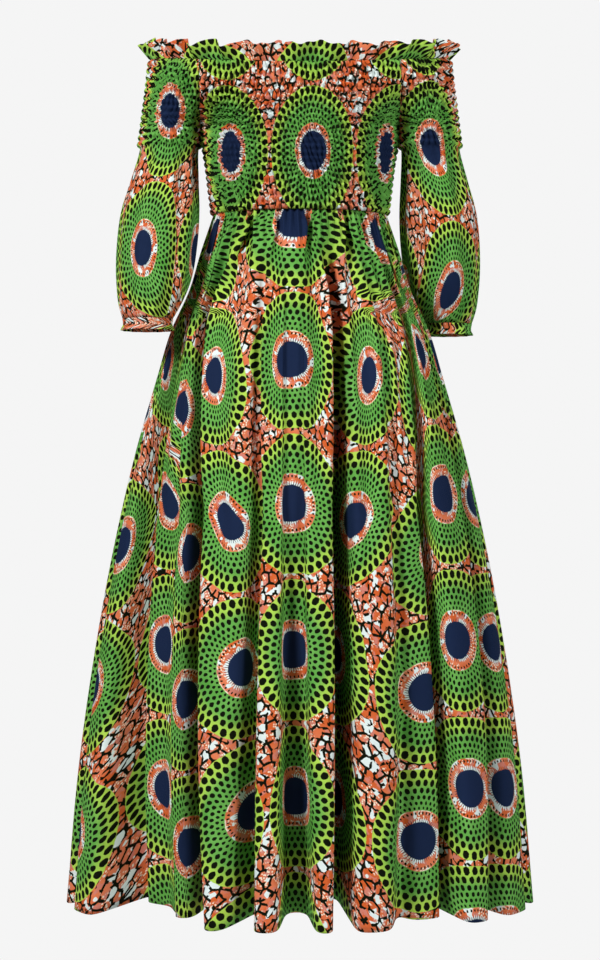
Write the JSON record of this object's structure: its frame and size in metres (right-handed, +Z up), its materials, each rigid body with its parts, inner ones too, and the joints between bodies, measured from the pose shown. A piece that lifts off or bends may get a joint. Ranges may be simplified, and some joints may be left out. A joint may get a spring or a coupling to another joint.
{
  "type": "off-the-shoulder maxi sundress",
  "caption": "Worn-shape off-the-shoulder sundress: waved neck frill, shirred bodice, puffed elbow sleeves with elastic cuffs, gathered full maxi skirt in circle-print cotton.",
  "frame": {"origin": "centre of the neckline's top elastic row, where the wearer's upper arms and chest hold the dress", "axes": "+Z up, the front of the dress faces -Y, +X is the wearer's left side"},
  "size_m": [0.665, 0.5404, 1.2225],
  "materials": {
    "shirred_cotton": "matte",
    "sleeve_cotton": "matte",
    "edge_cotton": "matte",
    "skirt_cotton": "matte"
  },
  "bodies": {
    "root": {"bodice_front": "shirred_cotton", "bodice_back": "shirred_cotton", "sleeve_left": "sleeve_cotton", "sleeve_right": "sleeve_cotton", "cuff_left": "edge_cotton", "cuff_right": "edge_cotton", "neck_frill": "edge_cotton", "skirt_front": "skirt_cotton", "skirt_back": "skirt_cotton"}
  },
  "joints": []
}
